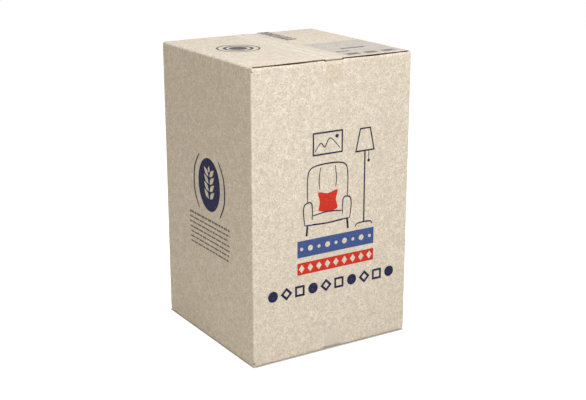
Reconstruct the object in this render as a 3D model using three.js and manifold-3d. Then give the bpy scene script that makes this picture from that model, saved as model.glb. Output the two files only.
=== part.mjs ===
// A tall slotted packing carton of double-wall corrugated board, closed and taped top and bottom.
// Millimetres, +Z up. The origin is the middle of the underside, the printed front faces -Y.
import * as THREE from "three";
import { mergeVertices } from "three/addons/utils/BufferGeometryUtils.js";
import Module from "manifold-3d";

const wasm = await Module();
wasm.setup();

// Outer size of the closed carton, over the board
const width = 470;
const depth = 470;
const height = 762;

// Board and its folds
const boardThickness = 5;
const linerThickness = 0.7;
const foldRadius = 1.5;

// Flaps: slots between neighbours, the seam where facing flaps meet, and the air between two layers
const slotWidth = 7;
const seamGap = 3;
const layerGap = 1.5;
const openFluteDepth = 3;

// Glue tab of the maker's joint, inside the back panel at the right-hand back corner
const tabWidth = 38;
const tabTaper = 14;
const jointInset = 2;

// Clear tape along each seam
const tapeWidth = 50;
const tapeThickness = 0.25;
const tapeClearance = 0.1;
const tapeTail = 58;
// The flaps are pressed in under the tape by its thickness, so that both ends of the box stay flat
const bedMargin = 0.4;

// Facets in a quarter turn of a fold
const foldSteps = 6;

const boardColour = 0xd8ccb6;
const tapeColour = 0xe6dcc8;

// A fold's outer face turns on this radius
const bendRadius = foldRadius + boardThickness;
// A slot is centred on its fold line, which lies half a board in from the outer face
const flapInset = boardThickness / 2 + slotWidth / 2;
// Inner flaps fold first, one layer below the outer flaps
const layerPitch = boardThickness + layerGap;
// The wall stands up to the slots' ends, where the lower folds begin
const slotEnd = bendRadius + layerPitch;
const wallHeight = height - 2 * slotEnd;
const tapeRise = tapeClearance + tapeThickness;

const X = new THREE.Vector3(1, 0, 0);
const Y = new THREE.Vector3(0, 1, 0);
const Z = new THREE.Vector3(0, 0, 1);

// Turns a closed three.js geometry into a solid for joining and cutting
function toSolid(geometry) {
  geometry.deleteAttribute("normal");
  geometry.deleteAttribute("uv");
  const merged = mergeVertices(geometry, 1e-4);
  return new wasm.Manifold(new wasm.Mesh({
    numProp: 3,
    vertProperties: new Float32Array(merged.attributes.position.array),
    triVerts: new Uint32Array(merged.index.array),
  }));
}

function toGeometry(solid) {
  const mesh = solid.getMesh();
  const geometry = new THREE.BufferGeometry();
  geometry.setAttribute("position", new THREE.BufferAttribute(new Float32Array(mesh.vertProperties), 3));
  geometry.setIndex(new THREE.BufferAttribute(new Uint32Array(mesh.triVerts), 1));
  geometry.computeVertexNormals();
  return geometry;
}

// Extrudes a shape drawn in the plane of axes u and v, along their cross product, from an origin
function extrudeFrom(shape, length, origin, u, v) {
  const w = new THREE.Vector3().crossVectors(u, v);
  const geometry = new THREE.ExtrudeGeometry(shape, {
    depth: length,
    bevelEnabled: false,
    curveSegments: foldSteps,
  });
  return geometry.applyMatrix4(new THREE.Matrix4().makeBasis(u, v, w).setPosition(origin));
}

function rectangle(uLow, uHigh, vLow, vHigh) {
  const shape = new THREE.Shape();
  shape.moveTo(uLow, vLow);
  shape.lineTo(uHigh, vLow);
  shape.lineTo(uHigh, vHigh);
  shape.lineTo(uLow, vHigh);
  shape.closePath();
  return shape;
}

// Where the two layers of flutes lie in the board, measured from its inner face
function fluteLayers() {
  const middle = boardThickness / 2;
  return [
    [linerThickness, middle - linerThickness / 2],
    [middle + linerThickness / 2, boardThickness - linerThickness],
  ];
}

// Plan of the four walls as one folded strip, whose glue tab laps inside the back panel. The back panel
// ends in a raw edge at the joint, cut along the flutes, so that they lie open there from top to bottom
function wallPlan() {
  const x = width / 2;
  const y = depth / 2;
  const t = boardThickness;
  const r = bendRadius;
  const quarter = Math.PI / 2;
  const rawEdge = x - jointInset;
  const plan = new THREE.Shape();
  plan.moveTo(rawEdge, y - t);
  for (const [from, to] of fluteLayers()) {
    plan.lineTo(rawEdge, y - t + from);
    plan.lineTo(rawEdge - openFluteDepth, y - t + from);
    plan.lineTo(rawEdge - openFluteDepth, y - t + to);
    plan.lineTo(rawEdge, y - t + to);
  }
  plan.lineTo(rawEdge, y);
  plan.absarc(-x + r, y - r, r, quarter, 2 * quarter, false);
  plan.absarc(-x + r, -y + r, r, 2 * quarter, 3 * quarter, false);
  plan.absarc(x - r, -y + r, r, 3 * quarter, 4 * quarter, false);
  plan.absarc(x - r, y - t - r, r, 0, quarter, false);
  plan.closePath();

  const inside = new THREE.Path();
  inside.moveTo(x - tabWidth, y - t);
  inside.lineTo(x - tabWidth, y - 2 * t);
  inside.absarc(x - r, y - t - r, foldRadius, quarter, 0, true);
  inside.absarc(x - r, -y + r, foldRadius, 0, -quarter, true);
  inside.absarc(-x + r, -y + r, foldRadius, -quarter, -2 * quarter, true);
  inside.absarc(-x + r, y - r, foldRadius, 2 * quarter, quarter, true);
  inside.closePath();
  plan.holes.push(inside);
  return plan;
}

// Section through a fold and its flap: u runs inwards from the wall's outer face, v away from the wall
function flapSection(reach, rise) {
  const t = boardThickness;
  const r = bendRadius;
  const quarter = Math.PI / 2;
  const section = new THREE.Shape();
  section.moveTo(0, 0);
  section.lineTo(t, 0);
  section.absarc(r, rise - r, foldRadius, 2 * quarter, quarter, true);
  section.lineTo(reach, rise - t);
  section.lineTo(reach, rise);
  section.absarc(r, rise - r, r, quarter, 2 * quarter, false);
  section.closePath();
  return section;
}

// The board's two open flutes, seen between its three liners on an edge cut along them
function openFlutes(reach, rise) {
  const innerFace = rise - boardThickness;
  return fluteLayers().map(([from, to]) => rectangle(bendRadius, reach + 1, innerFace + from, innerFace + to));
}

// One flap with its fold, less the open flutes along both of its slotted edges
function flap({ inward, wall, side, low, high, outer, up }) {
  const v = up ? Z.clone() : Z.clone().negate();
  const w = new THREE.Vector3().crossVectors(inward, v);
  const start = w.dot(side) > 0 ? low : high;
  const length = high - low;
  const reach = wall - seamGap / 2;
  const rise = outer ? slotEnd : bendRadius;
  const origin = inward.clone().multiplyScalar(-wall);
  origin.addScaledVector(side, start);
  origin.addScaledVector(Z, up ? height - slotEnd : slotEnd);

  let solid = toSolid(extrudeFrom(flapSection(reach, rise), length, origin, inward, v));
  for (const flute of openFlutes(reach, rise)) {
    for (const edge of [-1, length - openFluteDepth]) {
      const from = origin.clone().addScaledVector(w, edge);
      solid = solid.subtract(toSolid(extrudeFrom(flute, openFluteDepth + 1, from, inward, v)));
    }
  }
  return solid;
}

// The whole carton: walls, eight flaps, tapered glue tab, and the bands pressed in under the tape
function makeCarton() {
  const ground = new THREE.Vector3(0, 0, slotEnd);
  let carton = toSolid(extrudeFrom(wallPlan(), wallHeight, ground, X, Y));

  const left = X;
  const right = X.clone().negate();
  const front = Y;
  const back = Y.clone().negate();
  const across = width / 2 - flapInset;
  const along = depth / 2 - flapInset;
  for (const up of [true, false]) {
    const panels = [
      { inward: left, wall: width / 2, side: Y, low: -along, high: along, outer: true },
      { inward: right, wall: width / 2, side: Y, low: -along, high: along - boardThickness, outer: true },
      { inward: front, wall: depth / 2, side: X, low: -across, high: across, outer: false },
      { inward: back, wall: depth / 2, side: X, low: -across, high: across, outer: false },
    ];
    for (const panel of panels) carton = carton.add(flap({ ...panel, up }));
  }

  for (const up of [true, false]) {
    const taper = new THREE.Shape();
    taper.moveTo(width / 2 - tabWidth - 1, 0);
    taper.lineTo(width / 2 - bendRadius, 0);
    taper.lineTo(width / 2 - tabWidth - 1, tabTaper);
    taper.closePath();
    const v = up ? Z.clone().negate() : Z;
    const tabFace = depth / 2 - boardThickness;
    const start = new THREE.Vector3(0, up ? tabFace - boardThickness - 1 : tabFace, up ? height - slotEnd : slotEnd);
    carton = carton.subtract(toSolid(extrudeFrom(taper, boardThickness + 1, start, X, v)));
  }

  const bedWidth = tapeWidth + 2 * bedMargin;
  const bedStart = new THREE.Vector3(-bedWidth / 2, 0, 0);
  for (const [low, high] of [[-1, tapeRise], [height - tapeRise, height + 1]]) {
    const bed = rectangle(-depth / 2, depth / 2, low, high);
    carton = carton.subtract(toSolid(extrudeFrom(bed, bedWidth, bedStart, Y, Z)));
  }
  return carton;
}

// One face of the tape, at a distance off the board: flat across the flaps, slanting over the open edge
// of the outer flap to the rounded fold of the wall, then down the wall to the end of its tail
function tapeLine(offset, faceRise) {
  const flapEdge = depth / 2 - flapInset;
  const foldCentre = depth / 2 - bendRadius;
  const spanQ = flapEdge - foldCentre;
  const slant = Math.acos(bendRadius / Math.hypot(spanQ, faceRise)) + Math.atan2(spanQ, faceRise);
  const points = [];
  for (let step = 0; step <= foldSteps; step += 1) {
    const angle = slant * step / foldSteps;
    points.push([flapEdge + offset * Math.sin(angle), faceRise + offset * Math.cos(angle)]);
  }
  for (let step = 0; step <= foldSteps; step += 1) {
    const angle = slant + (Math.PI / 2 - slant) * step / foldSteps;
    const radius = bendRadius + offset;
    points.push([foldCentre + radius * Math.sin(angle), radius * Math.cos(angle)]);
  }
  points.push([depth / 2 + offset, slotEnd - tapeTail]);
  return points;
}

// A tape strip; its section is drawn with v = 0 at the centre of the wall's fold
function makeTape(up) {
  const faceRise = slotEnd - tapeRise;
  const outer = tapeLine(tapeRise, faceRise);
  const inner = tapeLine(tapeClearance, faceRise);
  const bothEnds = (half) => [...half.map(([q, v]) => [-q, v]).reverse(), ...half];
  const outline = [...bothEnds(outer), ...bothEnds(inner).reverse()];
  const section = new THREE.Shape(outline.map(([q, v]) => new THREE.Vector2(q, v)));
  const centreHeight = up ? height - slotEnd : slotEnd;
  const u = up ? Y : Y.clone().negate();
  const v = up ? Z : Z.clone().negate();
  return extrudeFrom(section, tapeWidth, new THREE.Vector3(-tapeWidth / 2, 0, centreHeight), u, v);
}

function named(name, geometry, color, roughness) {
  const mesh = new THREE.Mesh(geometry, new THREE.MeshStandardMaterial({ color, roughness, metalness: 0 }));
  mesh.name = name;
  return mesh;
}

const packingBox = new THREE.Group();
packingBox.add(named("carton", toGeometry(makeCarton()), boardColour, 0.9));
packingBox.add(named("top_tape", makeTape(true), tapeColour, 0.2));
packingBox.add(named("bottom_tape", makeTape(false), tapeColour, 0.2));

export default packingBox;
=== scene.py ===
# Tall packing carton in recycled double-wall board, printed in plain motifs and closed with clear tape.
import math
import random
import bmesh
import bpy
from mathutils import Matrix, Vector


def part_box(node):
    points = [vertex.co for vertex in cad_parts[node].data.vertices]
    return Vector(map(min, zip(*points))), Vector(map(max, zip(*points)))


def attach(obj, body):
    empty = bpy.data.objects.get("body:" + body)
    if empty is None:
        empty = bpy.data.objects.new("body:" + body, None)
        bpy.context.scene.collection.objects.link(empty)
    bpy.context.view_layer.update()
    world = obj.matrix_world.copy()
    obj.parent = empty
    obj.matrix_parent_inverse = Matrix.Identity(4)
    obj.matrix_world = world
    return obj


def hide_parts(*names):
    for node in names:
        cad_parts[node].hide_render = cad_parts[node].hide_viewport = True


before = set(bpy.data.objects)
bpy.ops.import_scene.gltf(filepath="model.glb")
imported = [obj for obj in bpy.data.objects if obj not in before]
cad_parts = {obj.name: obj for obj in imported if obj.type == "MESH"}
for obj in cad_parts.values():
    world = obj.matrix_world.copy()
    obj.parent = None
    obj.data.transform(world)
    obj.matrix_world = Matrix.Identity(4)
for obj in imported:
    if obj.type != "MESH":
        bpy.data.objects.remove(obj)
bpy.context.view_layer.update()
scene = bpy.context.scene

boxLow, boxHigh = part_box("carton")
boxSize = Vector(boxHigh) - Vector(boxLow)
halfWidth = boxSize.x / 2
halfDepth = boxSize.y / 2
fullHeight = boxSize.z

board = {
    "thickness": 0.005,
    "bend": 0.0065,  # outer radius of a fold
    "flapInset": 0.006,  # from a wall's outer face to the slotted edge of a flap
    "layerPitch": 0.0065,  # from an outer flap to the inner flap under it
    "openFlute": 0.003,
    "knifeTurn": 0.0021,  # how deep the slotting knife turned the outer liner over a flap's cut edge; below it the edge is painted dark as shade
    "dish": 0.0012,  # how far a wall leans in at its middle
    "dishFade": 8,  # power by which the dish fades from a wall's face to the middle of the box
    "swell": (0.55, 1.0),  # how strongly a top inner fold swells, mid-way and at its ends
    "sag": 1.6,  # how strongly a bottom inner fold settles towards the floor
    "mitreGap": 0.00015,  # between the folds that meet over a slot
    "tapeBed": 0.0256,  # half the width of the band pressed in under the tape
    "tapeEase": 0.004,
    "cornerCut": 0.0075,
    "gridStep": 0.016,
}
slotEnd = board["bend"] + board["layerPitch"]
onPlane = 1e-5  # how near to a plane a point counts as lying on it
mergeReach = 1e-6
flatAngle = math.radians(0.5)
creaseAngle = math.radians(35)  # facets that meet at less are shaded as one curve


class Wire:
    # An output socket, so that shader maths on plain values can be written as sums and products
    def __init__(self, paint, socket):
        self.paint = paint
        self.socket = socket

    def maths(self, operation, first, second):
        return self.paint.node("ShaderNodeMath", {"operation": operation}, {0: first, 1: second})

    def __add__(self, other):
        return self.maths("ADD", self, other)

    def __radd__(self, other):
        return self.maths("ADD", other, self)

    def __sub__(self, other):
        return self.maths("SUBTRACT", self, other)

    def __rsub__(self, other):
        return self.maths("SUBTRACT", other, self)

    def __mul__(self, other):
        return self.maths("MULTIPLY", self, other)

    def __rmul__(self, other):
        return self.maths("MULTIPLY", other, self)

    def __abs__(self):
        return self.maths("ABSOLUTE", self, 0)

    def orMore(self, other):
        return self.maths("MAXIMUM", self, other)

    def above(self, edge, soft):
        # 0 below the edge, 1 above it, with a soft step between
        return self.paint.node("ShaderNodeMapRange", {"interpolation_type": "SMOOTHSTEP"},
                               {"Value": self, "From Min": edge - soft, "From Max": edge + soft})


class Paint:
    # The nodes of one material, or of the world
    def __init__(self, owner):
        owner.use_nodes = True
        self.owner = owner
        self.tree = owner.node_tree
        self.tree.nodes.clear()

    def node(self, kind, settings=None, sockets=None, out=0):
        made = self.tree.nodes.new(kind)
        for name, value in (settings or {}).items():
            setattr(made, name, value)
        for name, value in (sockets or {}).items():
            if isinstance(value, Wire):
                self.tree.links.new(value.socket, made.inputs[name])
            else:
                made.inputs[name].default_value = value
        return Wire(self, made.outputs[out] if len(made.outputs) else None)

    def place(self):
        return self.node("ShaderNodeTexCoord", out="Object")

    def axis(self, vector, letter):
        return self.node("ShaderNodeSeparateXYZ", None, {0: vector}, letter)

    def facing(self, letter):
        # 1 where the surface faces along an axis, 0 where it lies along it
        normal = self.node("ShaderNodeNewGeometry", out="Normal")
        return abs(self.axis(normal, letter)).above(0.6, 0.2)

    def stretched(self, vector, scale):
        return self.node("ShaderNodeMapping", None, {"Vector": vector, "Scale": scale})

    def noise(self, vector, scale, detail=2.0, roughness=0.5, distortion=0.0):
        return self.node("ShaderNodeTexNoise", None, {
            "Vector": vector, "Scale": scale, "Detail": detail, "Roughness": roughness,
            "Distortion": distortion})

    def blend(self, factor, first, second):
        return self.node("ShaderNodeMix", {"data_type": "RGBA"}, {0: factor, 6: first, 7: second}, 2)

    def bump(self, height, strength, distance):
        return self.node("ShaderNodeBump", None, {
            "Strength": strength, "Distance": distance, "Height": height})

    def finish(self, surface, output="ShaderNodeOutputMaterial"):
        self.node(output, None, {"Surface": surface})
        return self.owner


def newPaint(name):
    return Paint(bpy.data.materials.new(name))


def linear(red, green, blue):
    # A colour written as seen on a screen, 0 to 255, turned into the renderer's linear values
    steps = [value / 255 for value in (red, green, blue)]
    return (*[step / 12.92 if step <= 0.04045 else ((step + 0.055) / 1.055) ** 2.4 for step in steps], 1)


print("lights, floor and camera")
view = {
    "position": (-1.5536, -2.5142, 1.2301),
    "yaw": 32.165,
    "pitch": 16.677,
    "focalPixels": 1145.2,
    "frameWidth": 586,
    "sensor": 36,
    "farthest": 60,
}


def makeCamera():
    data = bpy.data.cameras.new("camera")
    data.sensor_width = view["sensor"]
    data.lens = view["sensor"] * view["focalPixels"] / view["frameWidth"]
    data.clip_end = view["farthest"]
    camera = bpy.data.objects.new("camera", data)
    yaw = math.radians(view["yaw"])
    pitch = math.radians(view["pitch"])
    forward = Vector((math.sin(yaw) * math.cos(pitch), math.cos(yaw) * math.cos(pitch), -math.sin(pitch)))
    camera.location = view["position"]
    camera.rotation_euler = forward.to_track_quat("-Z", "Y").to_euler()
    scene.collection.objects.link(camera)
    scene.camera = camera


lamps = {
    "key": {"at": (-0.25, -2.3, 2.35), "size": 1.5, "power": 64, "tint": (0.97, 0.98, 1)},
    "fill": {"at": (-2.6, -0.6, 1.5), "size": 2.0, "power": 13.6, "tint": (1, 0.91, 0.74)},
    "overhead": {"at": (0.3, 0.5, 3.2), "size": 2.2, "power": 37, "tint": (0.88, 0.92, 1)},
}
studio = {
    "ambient": 0.17,
    "floorGlow": 0.84,
    "floorSize": 40,
    "floorDrop": 0.0002,
    "paper": ((236, 236, 236), (240, 240, 240)),
    "paperGrain": 40,
    "paintedContactShadow": 0.004,  # how far the painted contact shadow reaches out from the box's foot
}


def makeLamp(name, at, size, power, tint):
    data = bpy.data.lights.new(name, "AREA")
    data.color = tint
    data.shape = "DISK"
    data.size = size
    data.energy = power
    lamp = bpy.data.objects.new(name, data)
    lamp.location = at
    aim = Vector((0, 0, fullHeight / 2)) - Vector(at)
    lamp.rotation_euler = aim.to_track_quat("-Z", "Y").to_euler()
    scene.collection.objects.link(lamp)


def seenDirectly(paint):
    # 1 for the camera, for mirror rays and for rays through clear film
    rays = ["Is Camera Ray", "Is Glossy Ray", "Is Transmission Ray"]
    camera, glossy, clear = [paint.node("ShaderNodeLightPath", out=name) for name in rays]
    return camera.orMore(glossy.orMore(clear))


def makeWorld():
    paint = Paint(bpy.data.worlds.new("studio"))
    strength = studio["ambient"] + seenDirectly(paint) * (1 - studio["ambient"])
    sky = paint.node("ShaderNodeBackground", None, {"Color": (1, 1, 1, 1), "Strength": strength})
    scene.world = paint.finish(sky, "ShaderNodeOutputWorld")


def makeFloor():
    # White paper that glows up to the background's white, but not along the box's foot, where the missing
    # glow is a painted contact shadow
    half = studio["floorSize"] / 2
    mesh = bpy.data.meshes.new("floor")
    corners = [(-half, -half, 0), (half, -half, 0), (half, half, 0), (-half, half, 0)]
    mesh.from_pydata(corners, [], [(0, 1, 2, 3)])
    floor = bpy.data.objects.new("floor", mesh)
    scene.collection.objects.link(floor)
    floor.location.z = boxLow[2] - studio["floorDrop"]
    paint = newPaint("paperSweep")
    place = paint.place()
    shade, light = [linear(*tone) for tone in studio["paper"]]
    tone = paint.blend(paint.noise(place, studio["paperGrain"]), shade, light)
    matt = paint.node("ShaderNodeBsdfDiffuse", None, {"Color": tone})
    # Along the box's foot the glow is left out, painting a contact shadow
    reach = studio["paintedContactShadow"] / 2
    clearX = abs(paint.axis(place, "X")).above(halfWidth + reach, reach)
    clearY = abs(paint.axis(place, "Y")).above(halfDepth + reach, reach)
    strength = seenDirectly(paint) * clearX.orMore(clearY) * studio["floorGlow"]
    glow = paint.node("ShaderNodeEmission", None, {"Strength": strength})
    sweep = paint.node("ShaderNodeAddShader", None, {0: matt, 1: glow})
    fromBelow = paint.node("ShaderNodeNewGeometry", out="Backfacing")
    clear = paint.node("ShaderNodeBsdfTransparent")
    oneSided = paint.node("ShaderNodeMixShader", None, {0: fromBelow, 1: sweep, 2: clear})
    mesh.materials.append(paint.finish(oneSided))


makeCamera()
makeWorld()
makeFloor()
for lampName, lamp in lamps.items():
    makeLamp(lampName, **lamp)


print("board materials")
liner = {
    "light": (243, 232, 215),
    "dark": (203, 188, 164),
    "fibre": (180, 167, 147),
    # this pale colour also paints the highlight along the folds
    "scuffAndHighlight": (244, 235, 218),
    "cream": (226, 214, 188),
    "blush": (234, 219, 206),
    # The cut edge's brown is darkened, and the flutes' colours are painted shade in their hollows and in the
    # gap under the outer flaps
    "cutEdgeAndShade": (114, 84, 42),
    "fluteShade": (68, 45, 20),
    "fluteDeepShade": (34, 22, 10),
    "curls": 148,  # curly flecks a metre
    "clouds": 46,
    "drifts": 6,
    "fibres": 520,
    "hues": 120,
    "tears": 420,
    "wearAndHighlight": 0.55,
    "wearAndHighlightWidth": 0.004,  # how far the lighter band reaches from a folded edge, rubbed wear and painted highlight
    "fluteWave": 130,  # flutes a metre in the coarser of the two layers
    "fluteRise": 0.00004,
    "fibreRise": 0.00008,
    "curlRise": 0.0001,
}


def mottledLiner(paint):
    # Colour of the recycled outer liner, the same wherever a piece lies on the box
    place = paint.place()
    curl = paint.noise(place, liner["curls"], 3, 0.6, 1.9)
    cloud = paint.noise(place, liner["clouds"], 3, 0.6, 0.8)
    drift = paint.noise(place, liner["drifts"], 2, 0.5)
    fibre = paint.noise(paint.stretched(place, (1.0, 1.0, 0.7)), liner["fibres"], 3, 0.7, 1.4)
    hue = paint.noise(place, liner["hues"], 2, 0.5, 0.6)
    layers = [
        ("light", curl.above(0.49, 0.08)),
        ("cream", hue.above(0.54, 0.1) * 0.24),
        ("blush", 0.24 - hue.above(0.44, 0.1) * 0.24),
        ("fibre", fibre.above(0.62, 0.1) * 0.35),
        ("scuffAndHighlight", 0.3 - fibre.above(0.4, 0.1) * 0.3),
        ("dark", cloud.above(0.5, 0.17) * 0.42),
        ("dark", drift.above(0.5, 0.4) * 0.16),
    ]
    tone = linear(*liner["dark"])
    for name, cover in layers:
        tone = paint.blend(cover, tone, linear(*liner[name]))
    return tone, curl, fibre


def boardRelief(paint, curl, fibre):
    # Faint washboard of the flutes under the liner, with the paper's own tooth
    place = paint.place()
    x = paint.axis(place, "X")
    y = paint.axis(place, "Y")
    run = y + paint.facing("Y") * (x - y)
    wave = paint.node("ShaderNodeMath", {"operation": "SINE"}, {0: run * (liner["fluteWave"] * 2 * math.pi)})
    height = wave * liner["fluteRise"] + fibre * liner["fibreRise"] + curl * liner["curlRise"]
    return paint.bump(height, 0.6, 1.0)


def foldWearAndHighlight(paint):
    # 1 along the folded edges, where the liner is lighter: partly rubbed wear, partly a painted highlight on
    # the folds
    place = paint.place()
    reach = liner["wearAndHighlightWidth"]
    soft = reach * 0.6
    nearX = abs(paint.axis(place, "X")).above(halfWidth - reach, soft)
    nearY = abs(paint.axis(place, "Y")).above(halfDepth - reach, soft)
    nearZ = abs(paint.axis(place, "Z") - fullHeight / 2).above(fullHeight / 2 - reach, soft)
    patchy = paint.noise(place, 60, 3, 0.7).above(0.5, 0.15)
    return (nearX * nearY + nearX * nearZ + nearY * nearZ) * patchy


def makeBoardMaterial():
    paint = newPaint("recycledLiner")
    tone, curl, fibre = mottledLiner(paint)
    return paint.finish(paint.node("ShaderNodeBsdfPrincipled", None, {
        # Lighter along the folded edges: partly rubbed wear, partly a painted highlight
        "Base Color": paint.blend(foldWearAndHighlight(paint) * liner["wearAndHighlight"], tone, linear(*liner["scuffAndHighlight"])),
        "Roughness": 0.86 + curl * 0.1,
        "Specular IOR Level": 0.25,
        "Normal": boardRelief(paint, curl, fibre)}))


def makeRawEdgeMaterial(name, shown, shadeTone):
    # Unbleached brown of the cut board, torn and uneven, darkened with painted shade: the dark colours stand
    # for the shade in the open flutes and in the gap under the outer flaps
    paint = newPaint(name)
    torn = paint.noise(paint.stretched(paint.place(), (1.0, 1.0, 2.5)), liner["tears"], 4, 0.7, 0.8)
    return paint.finish(paint.node("ShaderNodeBsdfPrincipled", None, {
        "Base Color": paint.blend(torn.above(0.5, 0.2), linear(*liner[shadeTone]), linear(*liner[shown])),
        "Roughness": 0.95,
        "Specular IOR Level": 0.1,
        "Normal": paint.bump(torn, 0.7, 0.0004)}))


# The cut edges of the top flaps and their open flutes carry painted shade
boardMaterials = [
    makeBoardMaterial(),
    makeRawEdgeMaterial("cutEdgeAndShade", "cutEdgeAndShade", "fluteShade"),
    makeRawEdgeMaterial("openFlute", "fluteShade", "fluteDeepShade"),
]


print("board")


def swellOf(x, z):
    # How strongly a fold bulges, which it does outside the tape only
    if z < fullHeight / 2:
        amount = board["sag"]
    else:
        middle, ends = board["swell"]
        amount = middle + (ends - middle) * abs(math.cos(math.pi * min(1, abs(x) / halfWidth))) ** 1.5
    return amount * min(1, max(0, (abs(x) - board["tapeBed"]) / board["tapeEase"]))


def mitred(offFold):
    # A fold's end leans back to a mitre over the slot: how far in it lies from its own wall and the next
    near = board["bend"] - (board["bend"] - offFold) * math.sqrt(0.5)
    return near, min(board["flapInset"], near + board["mitreGap"])


def settledFold(point):
    # Taped shut, the inner folds swell against the flaps over them, and the folds' ends meet over the slots
    x, y, z = point
    depthIn = min(z, fullHeight - z)
    if depthIn > slotEnd - onPlane:
        return point
    offX = halfWidth - abs(x)
    offY = halfDepth - abs(y)
    inset = board["flapInset"]
    if offY < inset - onPlane:
        depthIn = slotEnd * (depthIn / slotEnd) ** (1 + swellOf(x, z))
        if offX < inset + onPlane:
            offY, offX = mitred(offY)
    elif offY < inset + onPlane and offX < board["bend"] - onPlane:
        offX, offY = mitred(offX)
    level = depthIn if z < fullHeight / 2 else fullHeight - depthIn
    return Vector((math.copysign(halfWidth - offX, x), math.copysign(halfDepth - offY, y), level))


def easedOut(place, half, power=1.5):
    # 1 in the middle of a side, easing to 0 at its ends
    share = min(1, abs(place) / half)
    return (1 - share * share) ** power


def leanIn(point):
    # Where a point on the box as creased moves to once it is taped shut and its walls dish in a little
    x, y, z = settledFold(point)
    pull = board["dish"] * easedOut(z - fullHeight / 2, fullHeight / 2 - slotEnd)
    pullX = pull * easedOut(y, halfDepth - board["bend"]) * (abs(x) / halfWidth) ** board["dishFade"]
    pullY = pull * easedOut(x, halfWidth - board["bend"]) * (abs(y) / halfDepth) ** board["dishFade"]
    return Vector((x - math.copysign(pullX, x), y - math.copysign(pullY, y), z))


def cutAcross(mesh, spot, normal):
    everything = mesh.verts[:] + mesh.edges[:] + mesh.faces[:]
    bmesh.ops.bisect_plane(mesh, geom=everything, dist=mergeReach, plane_co=spot, plane_no=normal)


def cutByGrid(mesh, low, high, step):
    # Cuts every face along evenly spaced planes, so that broad faces can bend
    for axis in range(3):
        normal = [0, 0, 0]
        normal[axis] = 1
        count = max(1, round((high[axis] - low[axis]) / step))
        for index in range(1, count):
            spot = [0, 0, 0]
            spot[axis] = low[axis] + (high[axis] - low[axis]) * index / count
            cutAcross(mesh, spot, normal)


def shadeByAngle(mesh):
    for face in mesh.faces:
        face.smooth = True
    for edge in mesh.edges:
        edge.smooth = edge.calc_face_angle(0) < creaseAngle


def solidOf(node):
    # A copy of a CAD solid to work on, with its corners joined
    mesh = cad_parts[node].data.copy()
    mesh.materials.clear()
    work = bmesh.new()
    work.from_mesh(mesh)
    bmesh.ops.remove_doubles(work, verts=work.verts[:], dist=mergeReach)
    return mesh, work


def addPiece(name, mesh, work, materials):
    work.to_mesh(mesh)
    work.free()
    piece = bpy.data.objects.new(name, mesh)
    scene.collection.objects.link(piece)
    for material in materials:
        mesh.materials.append(material)
    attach(piece, "root")
    return piece


def rawEdge(face):
    # 0 for the liner, 1 for the brown cut edge of a top flap, darkened as painted shade, 2 for the flutes
    # that lie open in it, painted dark as their shade; the bottom flaps' cut edges keep the pale liner
    centre = face.calc_center_median()
    depthDown = boxHigh[2] - centre.z
    inside = halfDepth - board["flapInset"] - abs(centre.y)
    layers = board["thickness"] + board["layerPitch"]
    onEdge = -onPlane < inside < board["openFlute"] + onPlane
    overSlot = abs(centre.x) > halfWidth - board["bend"]
    if overSlot or not onEdge or not board["knifeTurn"] < depthDown < layers:
        return 0
    if abs(inside) < onPlane:
        return 1
    return 2 if depthDown < board["thickness"] - onPlane else 0


def makeBoard():
    mesh, work = solidOf("carton")
    bmesh.ops.dissolve_limit(work, angle_limit=flatAngle, verts=work.verts[:], edges=work.edges[:])
    cutByGrid(work, boxLow, boxHigh, board["gridStep"])
    for way in (-1, 1):
        cutAcross(work, (0, way * (halfDepth - board["cornerCut"]), 0), (0, 1, 0))
        for x in (halfWidth - board["cornerCut"], board["tapeBed"], board["tapeBed"] + board["tapeEase"]):
            cutAcross(work, (way * x, 0, 0), (1, 0, 0))
    for face in work.faces:
        face.material_index = rawEdge(face)
    for vertex in work.verts:
        vertex.co = leanIn(vertex.co)
    work.normal_update()
    shadeByAngle(work)
    piece = addPiece("cartonBoard", mesh, work, boardMaterials)
    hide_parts("carton")


makeBoard()


print("printing")
printing = {
    "lift": 0.0001,  # from the board to the ink
    "film": 0.00005,
    "layer": 0.00009,  # from one ink to another printed over it
    "line": 0.0038,
    "gridStep": 0.02,
    "reach": (0.47, 0.77, 0.01),  # as far across and up a face as the inks may go
}
inkColours = {
    "navy": ((19, 22, 56), 1.0),
    "blue": ((54, 76, 128), 1.0),
    "red": ((194, 40, 22), 1.0),
    "slate": ((84, 75, 66), 0.85),
    "dusk": ((44, 44, 68), 0.9),
    "faded": ((76, 78, 98), 0.8),
    "tint": ((150, 149, 153), 0.42),
}
faces = {
    "front": {"origin": (-halfWidth, -halfDepth, 0), "across": (1, 0, 0), "up": (0, 0, 1)},
    "side": {"origin": (-halfWidth, halfDepth, 0), "across": (0, -1, 0), "up": (0, 0, 1)},
    "top": {"origin": (-halfWidth, -halfDepth, fullHeight), "across": (1, 0, 0), "up": (0, 1, 0)},
}


def makeInkMaterial(name, colour, cover):
    # Water-based ink: the liner's mottling shows through, and tiny spots stay bare
    paint = newPaint(name)
    tone, curl, fibre = mottledLiner(paint)
    thin = [min(255, channel + 16) for channel in colour]
    ink = paint.blend(paint.noise(paint.place(), 240, 3, 0.6), linear(*colour), linear(*thin))
    bare = fibre.above(0.68, 0.06) * 0.4 + curl.above(0.66, 0.1) * 0.12
    return paint.finish(paint.node("ShaderNodeBsdfPrincipled", None, {
        "Base Color": paint.blend((1 - bare) * cover, tone, ink),
        "Roughness": 0.74 + curl * 0.1,
        "Specular IOR Level": 0.2,
        "Normal": boardRelief(paint, curl, fibre)}))


inks = {name: makeInkMaterial(name + "Ink", *inkColours[name]) for name in inkColours}


def circle(centre, radius, steps=48, squash=1.0):
    x, y = centre
    turns = [2 * math.pi * step / steps for step in range(steps)]
    return [(x + radius * math.cos(turn), y + radius * squash * math.sin(turn)) for turn in turns]


def bar(left, low, right, high):
    return [(left, low), (right, low), (right, high), (left, high)]


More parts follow.
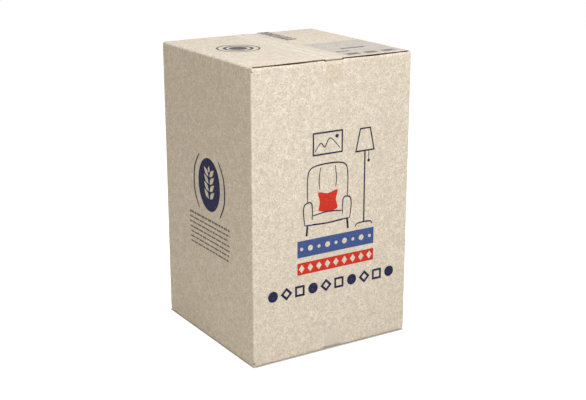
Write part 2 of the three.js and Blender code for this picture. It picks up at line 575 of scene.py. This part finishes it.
def square(centre, half):
    x, y = centre
    return bar(x - half, y - half, x + half, y + half)


def diamond(centre, across, up):
    x, y = centre
    return [(x - across, y), (x, y - up), (x + across, y), (x, y + up)]


def between(before, start, end, after, t):
    # A point on the smooth curve from start to end, at the share t of the way
    return tuple(0.5 * (2 * b + (c - a) * t + (2 * a - 5 * b + 4 * c - d) * t * t
                        + (3 * b - a - 3 * c + d) * t ** 3)
                 for a, b, c, d in zip(before, start, end, after))


def smoothed(points, steps=8):
    # A curve through the points, with straight run-ins at its ends
    if len(points) < 3:
        return points
    ends = [points[0], *points, points[-1]]
    path = []
    for four in zip(ends, ends[1:], ends[2:], ends[3:]):
        path += [between(*four, step / steps) for step in range(steps)]
    return [*path, points[-1]]


def stroke(points, width=printing["line"], taper=0.35):
    # Outline of one drawn line, thinner towards its ends
    path = smoothed(points)
    sides = [[], []]
    last = len(path) - 1
    for index, (x, y) in enumerate(path):
        before = path[max(0, index - 1)]
        after = path[min(last, index + 1)]
        dx = after[0] - before[0]
        dy = after[1] - before[1]
        size = math.hypot(dx, dy) or 1
        half = width / 2 * (1 - taper + taper * math.sin(math.pi * index / last))
        for side, sign in zip(sides, (1, -1)):
            side.append((x - sign * dy / size * half, y + sign * dx / size * half))
    return sides[0] + sides[1][::-1]


def ruled(start, end, width=printing["line"]):
    return stroke([start, end], width, 0)


def mirrored(points, middle):
    return [(2 * middle - x, y) for x, y in points]


def filledMesh(outlines):
    # Fills closed outlines, with any inner ones left open, in the flat
    curve = bpy.data.curves.new("outline", "CURVE")
    curve.dimensions = "2D"
    curve.fill_mode = "BOTH"
    for outline in outlines:
        spline = curve.splines.new("POLY")
        spline.points.add(len(outline) - 1)
        for point, (x, y) in zip(spline.points, outline):
            point.co = (x, y, 0, 1)
        spline.use_cyclic_u = True
    holder = bpy.data.objects.new("outline", curve)
    scene.collection.objects.link(holder)
    mesh = bpy.data.meshes.new_from_object(holder.evaluated_get(bpy.context.evaluated_depsgraph_get()))
    bpy.data.objects.remove(holder)
    return mesh


def printOn(name, faceName, ink, shapes, layer=0):
    # Lays a thin film of ink on a face, or over another ink; each shape is a list of outlines
    side = faces[faceName]
    origin, across, up = (Vector(side[key]) for key in ("origin", "across", "up"))
    outward = across.cross(up)
    lift = printing["lift"] + layer * printing["layer"]
    film = bmesh.new()
    for outlines in shapes:
        film.from_mesh(filledMesh(outlines))
    cutByGrid(film, (0, 0, 0), printing["reach"], printing["gridStep"])
    for face in film.faces:
        if face.normal.z < 0:
            face.normal_flip()
    bmesh.ops.solidify(film, geom=film.faces[:], thickness=printing["film"])
    for vertex in film.verts:
        flat = origin + across * vertex.co.x + up * vertex.co.y
        vertex.co = leanIn(flat) + outward * (lift + vertex.co.z)
    bmesh.ops.recalc_face_normals(film, faces=film.faces[:])
    addPiece(name, bpy.data.meshes.new(name), film, [inks[ink]])


# Places on a face are in metres across and up from its lower left corner
frontArt = {
    "ground": 0.322,  # level that the lamp and the chair stand on
    "lampMiddle": 0.330,
    "chairMiddle": 0.218,
    "seams": 0.0028,
    "legs": 0.006,
    "ends": (0.128, 0.362),  # of the red strip and the blue band
    "strip": (0.222, 0.254),
    "band": (0.268, 0.312),
    "motifs": 9,
    "rowEnds": (0.056, 0.414),
    "rowLevel": 0.180,
    "rowShapes": 10,
}


def drawLamp():
    ground = frontArt["ground"]
    middle = frontArt["lampMiddle"]
    shadeSide = ruled((0.302, 0.520), (0.315, 0.578))
    return [
        [ruled((middle, ground + 0.008), (middle, 0.520), 0.0042)],
        [stroke([(0.303, ground), (0.312, ground + 0.008), (0.348, ground + 0.008), (0.357, ground)])],
        [bar(0.300, 0.518, 0.360, 0.522)],
        [shadeSide],
        [mirrored(shadeSide, middle)],
        [bar(0.313, 0.576, 0.347, 0.580)],
        [ruled((0.342, 0.520), (0.342, 0.496), 0.0022)],
        [circle((0.342, 0.493), 0.0042, 16)],
    ]


def drawChair():
    ground = frontArt["ground"]
    middle = frontArt["chairMiddle"]
    shapes = [
        [stroke([(0.158, 0.408), (0.158, 0.470), (0.170, 0.496), (middle, 0.502), (0.266, 0.496),
                 (0.278, 0.470), (0.278, 0.408)])],
        [stroke([(0.172, 0.372), (middle, 0.377), (0.264, 0.372)])],
        [stroke([(0.150, ground + 0.028), (middle, ground + 0.025), (0.286, ground + 0.028)])],
        [stroke([(0.172, 0.350), (middle, 0.347), (0.264, 0.350)])],
    ]
    arm = [(0.150, ground + 0.028), (0.146, 0.385), (0.150, 0.404), (0.166, 0.408), (0.172, 0.396),
           (0.172, 0.362)]
    leg = ruled((0.158, ground + 0.026), (0.155, ground), frontArt["legs"])
    seam = stroke([(0.196, 0.494), (0.192, 0.462), (0.194, 0.438)], frontArt["seams"])
    for outline in (stroke(arm), leg, seam):
        shapes += [[outline], [mirrored(outline, middle)]]
    return shapes


def drawPicture():
    hills = [(0.179, 0.536), (0.196, 0.556), (0.208, 0.545), (0.224, 0.566), (0.254, 0.537)]
    return [
        [bar(0.172, 0.525, 0.262, 0.584), bar(0.1762, 0.5292, 0.2578, 0.5798)],
        [stroke(hills, 0.003)],
        [circle((0.244, 0.569), 0.005, 20)],
    ]


def drawFront():
    # A furnished corner in line, over a blue band and a red patterned strip, with a row of plain shapes
    printOn("frontLineArt", "front", "navy", drawLamp() + drawChair() + drawPicture())
    left, right = frontArt["ends"]
    pitch = (right - left) / frontArt["motifs"]
    middles = [left + (index + 0.5) * pitch for index in range(frontArt["motifs"])]
    cushion = smoothed([(0.190, 0.382), (0.218, 0.377), (0.247, 0.382), (0.243, 0.406), (0.247, 0.430),
                        (0.218, 0.425), (0.190, 0.430), (0.194, 0.406), (0.190, 0.382)])[:-1]
    low, high = frontArt["strip"]
    strip = [bar(left, low, right, high)]
    strip += [diamond((middle, (low + high) / 2), 0.0085, 0.011) for middle in middles]
    printOn("frontRed", "front", "red", [[cushion], strip])
    low, high = frontArt["band"]
    band = [bar(left, low, right, high)]
    for index, middle in enumerate(middles):
        band.append(circle((middle, (low + high) / 2), 0.0075 if index % 2 else 0.0045, 28))
    printOn("frontBlue", "front", "blue", [band])
    left, right = frontArt["rowEnds"]
    pitch = (right - left) / (frontArt["rowShapes"] - 1)
    row = []
    for index in range(frontArt["rowShapes"]):
        middle = (left + index * pitch, frontArt["rowLevel"])
        row.append([
            [circle(middle, 0.0145, 40)],
            [diamond(middle, 0.0175, 0.0175), diamond(middle, 0.0085, 0.0085)],
            [square(middle, 0.0145), square(middle, 0.0085)],
        ][index % 3])
    printOn("frontShapeRow", "front", "navy", row)


sideArt = {
    "centre": (0.247, 0.425),
    "plaque": 0.058,
    "plaqueTaller": 1.22,
    "sprig": 0.052,  # half its height
    "leaf": 0.027,
    "leafPairs": 4,
    "bracket": [(0.052, 0.072), (0.078, 0.030), (0.080, -0.030), (0.056, -0.074)],  # from the centre
    "bracketWidth": 0.006,
    "ruleEnds": (0.133, 0.355),
    "ruleLevel": 0.326,
    "rulePitch": 0.0135,
    "ruleHeights": [0.0062, *[0.0046] * 6],
    "dashGap": 0.003,
}


def leaf(root, tip, belly):
    # A pointed leaf between two points, as wide as its belly
    along = Vector(tip) - Vector(root)
    aside = Vector((-along.y, along.x)).normalized() * belly
    middle = Vector(root) + along * 0.45
    first = smoothed([root, tuple(middle + aside), tip], 6)[:-1]
    second = smoothed([tip, tuple(middle - aside), root], 6)[:-1]
    return first + second


def sprigLeaves(centre, size, leafLength):
    # Paired leaves up an upright stem, and one at its tip
    x, y = centre
    leaves = []
    for pair in range(sideArt["leafPairs"]):
        rootLevel = y - size * 0.72 + pair * size * 0.38
        for way in (-1, 1):
            root = (x + way * size * 0.05, rootLevel)
            tip = (x + way * leafLength, rootLevel + leafLength * 0.85)
            leaves.append(leaf(root, tip, leafLength * 0.26))
    leaves.append(leaf((x, y + size * 0.62), (x, y + size * 0.98), leafLength * 0.2))
    return leaves


def drawSide():
    # A solid plaque with a sprig left bare in it, and ruled lines broken into dashes
    centre = sideArt["centre"]
    plaque = [circle(centre, sideArt["plaque"], 72, sideArt["plaqueTaller"])]
    plaque += sprigLeaves(centre, sideArt["sprig"], sideArt["leaf"])
    emblem = [plaque]
    for way in (-1, 1):
        points = [(centre[0] + way * x, centre[1] + y) for x, y in sideArt["bracket"]]
        emblem.append([stroke(points, sideArt["bracketWidth"])])
    printOn("sideEmblem", "side", "navy", emblem)
    chance = random.Random(7)
    left, right = sideArt["ruleEnds"]
    dashes = []
    for index, height in enumerate(sideArt["ruleHeights"]):
        level = sideArt["ruleLevel"] - index * sideArt["rulePitch"]
        start = left + chance.uniform(0, 0.008)
        end = right - chance.uniform(0, 0.012)
        while start < end:
            length = min(chance.uniform(0.010, 0.030), end - start)
            dashes.append([bar(start, level, start + length, level + height)])
            start += length + sideArt["dashGap"]
    printOn("sideRules", "side", "slate", dashes)


topArt = {
    "sealCentre": (0.113, 0.26),
    "sealRing": (0.057, 0.052),
    "innerRing": (0.040, 0.031),
    "sealDisc": 0.024,
    "barEnds": (0.288, 0.324),
    "barLevel": 0.308,
    "barPitch": 0.0205,
    "barHeight": 0.0145,
    "bars": 8,
    "barGap": 0.002,
    "form": (0.284, 0.016, 0.457, 0.218),
    "formLine": (0.292, 0.060, 0.449, 0.064),
    "formLines": 4,
    "formPitch": 0.038,
    "formBox": (0.296, 0.026, 0.332, 0.048),
    "formBoxes": 3,
    "boxPitch": 0.054,
    "formMarks": [(0.330, 0.108, 0.404, 0.122), (0.292, 0.074, 0.330, 0.084)],
}


def repeated(corners, count, stepAcross, stepUp):
    # The same bar again and again, a step further each time
    left, low, right, high = corners
    steps = [(index * stepAcross, index * stepUp) for index in range(count)]
    return [bar(left + across, low + up, right + across, high + up) for across, up in steps]


def drawTop():
    # A ring seal on one flap, a barred strip and a tinted form panel on the other
    centre = topArt["sealCentre"]
    printOn("topSeal", "top", "dusk", [
        [circle(centre, radius, 64) for radius in topArt["sealRing"]],
        [circle(centre, radius) for radius in topArt["innerRing"]],
        [circle(centre, topArt["sealDisc"])],
    ])
    chance = random.Random(3)
    left, right = topArt["barEnds"]
    bars = []
    for index in range(topArt["bars"]):
        level = topArt["barLevel"] + index * topArt["barPitch"]
        high = level + topArt["barHeight"]
        split = left + chance.uniform(0.010, 0.024)
        bars.append([bar(left, level, split, high)])
        bars.append([bar(split + topArt["barGap"], level + chance.uniform(0, 0.004), right, high)])
    printOn("topBars", "top", "dusk", bars)
    lines = repeated(topArt["formLine"], topArt["formLines"], 0, topArt["formPitch"])
    printOn("topForm", "top", "tint", [[bar(*topArt["form"]), *lines]])
    marks = repeated(topArt["formBox"], topArt["formBoxes"], topArt["boxPitch"], 0)
    marks += [bar(*corners) for corners in topArt["formMarks"]]
    printOn("topFormMarks", "top", "faded", [[mark] for mark in marks], 1)


drawFront()
drawSide()
drawTop()


print("tape")
tape = {
    "shade": (247, 240, 227),
    "light": (252, 249, 243),
    # Paler film colour where it spans the gap, a painted sheen
    "stretched": (243, 230, 207),
    "ripples": 90,
    "bubbles": 380,
    "faceOn": 0.008,  # how opaque the film is, seen face on
    # more opaque seen edge on, so that the film's pale colour paints its sheen
    "edgeOn": 0.34,
    "bubbled": 0.02,
    "overGap": 0.42,  # and where it spans the open edge of the outer flaps, where its pale colour is a painted sheen over the gap
    "cutSide": 0.15,  # share of that left on the cut sides of the film
    "dipDepth": 0.0036,  # how far under the top the film dips into the gap, so that the dark behind it shows
    "dipHalf": 0.0014,
    "dipShare": 0.25,
}


def makeTapeMaterial():
    paint = newPaint("clearFilm")
    place = paint.place()
    z = paint.axis(place, "Z")
    ripple = paint.noise(paint.stretched(place, (1, 0.25, 1)), tape["ripples"], 2, 0.5)
    bubble = paint.noise(place, tape["bubbles"], 2, 0.5).above(0.64, 0.05)
    beyondFlap = abs(paint.axis(place, "Y")).above(halfDepth - board["flapInset"], 0.0006)
    # Over the gap the film is paler and more opaque: a painted sheen
    overGap = beyondFlap * z.above(fullHeight - slotEnd + 0.003, 0.002)
    dip = 1 - abs(z - (fullHeight - tape["dipDepth"])).above(tape["dipHalf"], 0.0006)
    # More opaque towards grazing views, so the film's pale colour paints its sheen there
    edgeOn = paint.node("ShaderNodeLayerWeight", None, {"Blend": 0.35}, "Fresnel")
    cover = tape["faceOn"] + edgeOn * tape["edgeOn"] + bubble * tape["bubbled"] + overGap * tape["overGap"]
    cover = cover * (1 - paint.facing("X") * (1 - tape["cutSide"])) * (1 - dip * (1 - tape["dipShare"]))
    tone = paint.blend(bubble, linear(*tape["shade"]), linear(*tape["light"]))
    return paint.finish(paint.node("ShaderNodeBsdfPrincipled", None, {
        "Base Color": paint.blend(overGap, tone, linear(*tape["stretched"])),
        "Roughness": 0.3 + ripple * 0.15,
        "Alpha": cover,
        "Normal": paint.bump(ripple, 0.15, 0.0004)}))


tapeMaterial = makeTapeMaterial()


def makeTape(name, node):
    # The film keeps the CAD strip's form, with its facets smoothed
    mesh, work = solidOf(node)
    shadeByAngle(work)
    piece = addPiece(name, mesh, work, [tapeMaterial])
    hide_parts(node)


makeTape("topFilm", "top_tape")
makeTape("bottomFilm", "bottom_tape")


print("view settings")
scene.view_settings.view_transform = "Standard"
